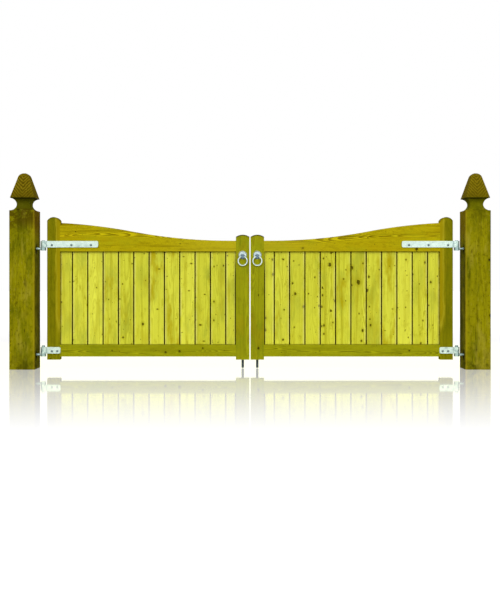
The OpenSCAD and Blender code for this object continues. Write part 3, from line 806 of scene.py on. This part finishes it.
def wood_screw(material):
    """A countersunk screw along Z, its head level with 0, with a cross recess."""
    shape = bmesh.new()
    head_r, head_h = SCREW_HEAD
    eased = 0.25 * MM
    head = [(0.0, 0.0), (head_r - eased, 0.0), (head_r, -eased), (SCREW_RADIUS, -head_h - eased)]
    thread = threads(SCREW_RADIUS, -head_h - SCREW_NECK, -SCREW_LENGTH + SCREW_POINT, SCREW_PITCH)
    turned(shape, head + thread + [(0.0, -SCREW_LENGTH)], 16)
    screw = bpy.data.objects.new("wood_screw", finished_mesh(shape, "wood_screw", material))
    recess = bmesh.new()
    for long_x, long_y in ((RECESS_ARM, RECESS_HALF_WIDTH), (RECESS_HALF_WIDTH, RECESS_ARM)):
        for vert in bmesh.ops.create_cube(recess, size=1.0)["verts"]:
            narrow = RECESS_TAPER if vert.co.z < 0 else 1.0
            size = (2 * long_x * narrow, 2 * long_y, RECESS_HEIGHT)
            vert.co = Vector([length * part for length, part in zip(vert.co, size)])
    tool = bpy.data.objects.new("recess", finished_mesh(recess, "recess", material))
    for thing in (screw, tool):
        bpy.context.scene.collection.objects.link(thing)
    cut = screw.modifiers.new("recess", "BOOLEAN")
    cut.operation = "DIFFERENCE"
    cut.solver = "EXACT"
    cut.use_self = True
    cut.object = tool
    mesh = plain_mesh(screw)
    for thing in (screw, tool):
        bpy.data.objects.remove(thing)
    return mesh


def plain_mesh(thing):
    """The mesh that an object's modifiers give."""
    graph = bpy.context.evaluated_depsgraph_get()
    graph.update()
    return bpy.data.meshes.new_from_object(thing.evaluated_get(graph))


def fixing_tree():
    """Sets one fixing at every place, facing out of its piece and turned by chance about its own axis."""
    tree = bpy.data.node_groups.new("row_of_fixings", "GeometryNodeTree")
    sockets = {}
    for name, kind in (("Places", "NodeSocketGeometry"), ("Fixing", "NodeSocketObject"),
                       ("Most turn", "NodeSocketFloat"), ("Most sink", "NodeSocketFloat"),
                       ("Seed", "NodeSocketInt"), ("Finish", "NodeSocketMaterial")):
        sockets[name] = tree.interface.new_socket(name=name, in_out="INPUT", socket_type=kind).identifier
    tree.interface.new_socket(name="Fixings", in_out="OUTPUT", socket_type="NodeSocketGeometry")
    g = Finish(tree)
    given = g.add("NodeGroupInput", out="Places")
    facing = g.add("GeometryNodeInputNamedAttribute", {"data_type": "FLOAT"}, {"Name": "facing"},
                   out="Attribute")
    upright = g.add("ShaderNodeCombineXYZ", None, {"X": math.pi / 2, "Z": facing})
    rotation = g.add("FunctionNodeEulerToRotation", None, {0: upright})
    fixing = g.add("GeometryNodeObjectInfo", {"transform_space": "ORIGINAL"},
                   {"Object": given.output("Fixing"), "As Instance": True}, out="Geometry")
    row = g.add("GeometryNodeInstanceOnPoints", None,
                {"Points": given, "Instance": fixing, "Rotation": rotation})
    seed = given.output("Seed")
    turn = g.add("FunctionNodeRandomValue", {"data_type": "FLOAT"},
                 {2: 0.0, 3: given.output("Most turn"), "Seed": seed}, out=1)
    sink = g.add("FunctionNodeRandomValue", {"data_type": "FLOAT"},
                 {2: 0.0, 3: given.output("Most sink"), "Seed": seed}, out=1)
    spin = g.add("FunctionNodeEulerToRotation", None, {0: g.vector(0.0, 0.0, turn)})
    row = g.add("GeometryNodeRotateInstances", None,
                {"Instances": row, "Rotation": spin, "Local Space": True})
    down = g.vector(0.0, 0.0, sink * -1.0)
    row = g.add("GeometryNodeTranslateInstances", None,
                {"Instances": row, "Translation": down, "Local Space": True})
    solid = g.add("GeometryNodeRealizeInstances", None, {"Geometry": row})
    dressed = g.add("GeometryNodeSetMaterial", None,
                    {"Geometry": solid, "Material": given.output("Finish")})
    g.add("NodeGroupOutput", None, {0: dressed})
    return tree, sockets


def set_fixings(name, fixing, places, finish, body, node, seed, most_sink=0.0):
    """Makes one piece of many fixings. A place is a point and the angle about Z that its fixing faces."""
    tree, sockets = FIXING_TREE
    mesh = bpy.data.meshes.new(f"{name}_places")
    mesh.from_pydata([point for point, _ in places], [], [])
    facing = mesh.attributes.new("facing", "FLOAT", "POINT")
    facing.data.foreach_set("value", [angle for _, angle in places])
    row = bpy.data.objects.new(f"{name}_row", mesh)
    template = bpy.data.objects.new(f"{name}_template", fixing)
    bpy.context.scene.collection.objects.link(row)
    bpy.context.scene.collection.objects.link(template)
    modifier = row.modifiers.new("row", "NODES")
    modifier.node_group = tree
    for socket, value in (("Fixing", template), ("Most turn", MOST_TURN), ("Most sink", most_sink),
                          ("Seed", seed), ("Finish", finish)):
        modifier[sockets[socket]] = value
    result = plain_mesh(row)
    bpy.data.objects.remove(row)
    bpy.data.objects.remove(template)
    add_piece(name, result, body, node)


def add_piece(name, mesh, body, node):
    """Puts a finished mesh in the scene in place of a CAD node."""
    piece = bpy.data.objects.new(name, mesh)
    bpy.context.scene.collection.objects.link(piece)
    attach(piece, body)
    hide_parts(node)


def solids_of(node):
    """The lowest and highest corners of each separate solid in a CAD node."""
    shape = bmesh.new()
    shape.from_mesh(NODES[node].data)
    bmesh.ops.remove_doubles(shape, verts=shape.verts, dist=SAME_POINT)
    waiting = set(shape.verts)
    boxes = []
    while waiting:
        group = [waiting.pop()]
        for vert in group:
            for edge in vert.link_edges:
                other = edge.other_vert(vert)
                if other in waiting:
                    waiting.remove(other)
                    group.append(other)
        corners = [[pick(v.co[axis] for v in group) for axis in range(3)] for pick in (min, max)]
        boxes.append((Vector(corners[0]), Vector(corners[1])))
    shape.free()
    return sorted(boxes, key=lambda box: tuple(box[0]))


def fit_bolts(side, seed, finish):
    """The bands' bolts, each from its band's front to a nut on the frame's back."""
    frame_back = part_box(f"{side}_hinge_stile")[1].y
    band_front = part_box(f"{side}_top_band")[0].y
    bolts = [box for box in solids_of(f"{side}_band_bolts") if box[0].y < band_front]
    places = [(((low.x + high.x) / 2, band_front, (low.z + high.z) / 2), 0.0) for low, high in bolts]
    bolt = cup_bolt(bolts[0][1].y - band_front, frame_back - band_front, finish)
    set_fixings(f"{side}_cup_bolts", bolt, places, finish, f"{side}_leaf", f"{side}_band_bolts", seed)


def fit_screws(side, seed, finish):
    """The wood screws: the rose's face the front, and the bolt bracket's face the back."""
    frame_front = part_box(f"{side}_hinge_stile")[0].y
    places = []
    for low, high in solids_of(f"{side}_screws"):
        outer, facing = (low.y, 0.0) if low.y < frame_front else (high.y, math.pi)
        places.append((((low.x + high.x) / 2, outer, (low.z + high.z) / 2), facing))
    set_fixings(f"{side}_wood_screws", wood_screw(finish), places, finish, f"{side}_leaf",
                f"{side}_screws", seed, most_sink=SCREW_SINK)


def fit_spindle_nut(side, finish):
    """The washer and nut on the spindle's tail, behind the meeting stile."""
    centre = middle(f"{side}_spindle_nut")
    frame_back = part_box(f"{side}_hinge_stile")[1].y
    shape = bmesh.new()
    nut_shapes(shape, SPINDLE_WASHER, SPINDLE_NUT, SPINDLE_RADIUS, 0.0)
    seat = Matrix.Translation((centre.x, frame_back, centre.z))
    shape.transform(seat @ Matrix.Rotation(math.pi / 2, 4, "X"))
    nut = finished_mesh(shape, f"{side}_hexagon_nut", finish)
    add_piece(f"{side}_hexagon_nut", nut, f"{side}_leaf", f"{side}_spindle_nut")


# Studio

CAMERA_DISTANCE = 6.729
CAMERA_HEIGHT = 0.668
IMAGE_HEIGHT = 600
HORIZON_ABOVE_MIDDLE = 26
FOCAL_PIXELS = 951
SENSOR_WIDTH = 36.0
FLOOR_HALF = 30.0
POLISH_REACH = 2.78
SIDEWAYS_FADE = 0.08
POLISH_SHARE = 1.08
POLISH_TINT = (1.4, 1.4, 1.0, 1.0)
FLOOR_IOR = 1.45
FLOOR_GREY = (0.24, 0.24, 0.24, 1.0)
AMBIENT = 0.47
LAMP_TARGET = (0.0, 0.0, 0.6)


def place_camera():
    data = bpy.data.cameras.new("view")
    data.sensor_width = SENSOR_WIDTH
    data.lens = FOCAL_PIXELS / IMAGE_HEIGHT * data.sensor_width
    data.shift_y = -HORIZON_ABOVE_MIDDLE / IMAGE_HEIGHT
    camera = bpy.data.objects.new("view", data)
    camera.location = (0.0, -CAMERA_DISTANCE, CAMERA_HEIGHT)
    camera.rotation_euler = (math.pi / 2, 0.0, 0.0)
    bpy.context.scene.collection.objects.link(camera)
    bpy.context.scene.camera = camera


def soft_lamp(name, place, width, power, mirrored=True):
    data = bpy.data.lights.new(name, "AREA")
    data.shape = "DISK"
    data.size = width
    data.energy = power
    lamp = bpy.data.objects.new(name, data)
    lamp.location = place
    lamp.rotation_euler = (Vector(LAMP_TARGET) - Vector(place)).to_track_quat("-Z", "Y").to_euler()
    lamp.visible_glossy = mirrored
    bpy.context.scene.collection.objects.link(lamp)


def seen_directly(f):
    """1 for what the camera sees itself, in a reflection or through glass."""
    path = f.add("ShaderNodeLightPath")
    seen = path.output("Is Camera Ray").largest(path.output("Is Glossy Ray"))
    return seen.largest(path.output("Is Transmission Ray"))


def light_world(ambient):
    world = bpy.data.worlds.new("studio")
    bpy.context.scene.world = world
    world.use_nodes = True
    f = Finish(world.node_tree, world)
    strength = seen_directly(f) * (1.0 - ambient) + ambient
    sky = f.add("ShaderNodeBackground", None, {"Color": (1.0, 1.0, 1.0, 1.0), "Strength": strength})
    f.add("ShaderNodeOutputWorld", None, {"Surface": sky})


def lay_floor():
    """A pale polished floor, white in the camera, whose polish fades away from the gate.
    The polish is tinted, because the photo's reflection is yellower than a neutral one."""
    half = FLOOR_HALF
    mesh = bpy.data.meshes.new("floor")
    corners = [(-half, -half, 0), (half, -half, 0), (half, half, 0), (-half, half, 0)]
    mesh.from_pydata(corners, [], [(0, 1, 2, 3)])
    floor = bpy.data.objects.new("floor", mesh)
    bpy.context.scene.collection.objects.link(floor)
    f = new_finish("pale_floor")
    x, y, _ = f.split(f.add("ShaderNodeTexCoord", out="Object"))
    near = 1.0 - (x * x * SIDEWAYS_FADE + y * y) / (POLISH_REACH * POLISH_REACH)
    matt = f.add("ShaderNodeBsdfDiffuse", None, {"Color": FLOOR_GREY})
    lift = seen_directly(f) * (f.between(near, 0.5, -4.0) * 0.2 + 0.8)
    glow = f.add("ShaderNodeEmission", None, {"Color": f.vector(lift, lift, lift), "Strength": 1.0})
    body = f.add("ShaderNodeAddShader", None, {0: matt, 1: glow})
    polish = f.add("ShaderNodeBsdfGlossy", None, {"Color": POLISH_TINT, "Roughness": 0.05})
    fresnel = f.add("ShaderNodeFresnel", None, {"IOR": FLOOR_IOR})
    share = fresnel * near.largest(0.0) * POLISH_SHARE
    mixed = f.add("ShaderNodeMixShader", None, {0: share, 1: body, 2: polish})
    mesh.materials.append(f.surface(mixed))


FIXING_TREE = fixing_tree()

place_camera()
dress_posts()
for number, side in enumerate(SIDES):
    dress_leaf(side, 100 * (number + 1))
dress_metal()
lay_floor()
light_world(AMBIENT)
soft_lamp("key", (-3.0, -6.0, 4.6), width=4.5, power=238.0)
soft_lamp("fill", (4.0, -5.5, 3.0), width=4.0, power=142.0)
soft_lamp("back", (1.0, 6.5, 4.5), width=5.0, power=95.0, mirrored=False)
bpy.context.scene.view_settings.view_transform = "Standard"
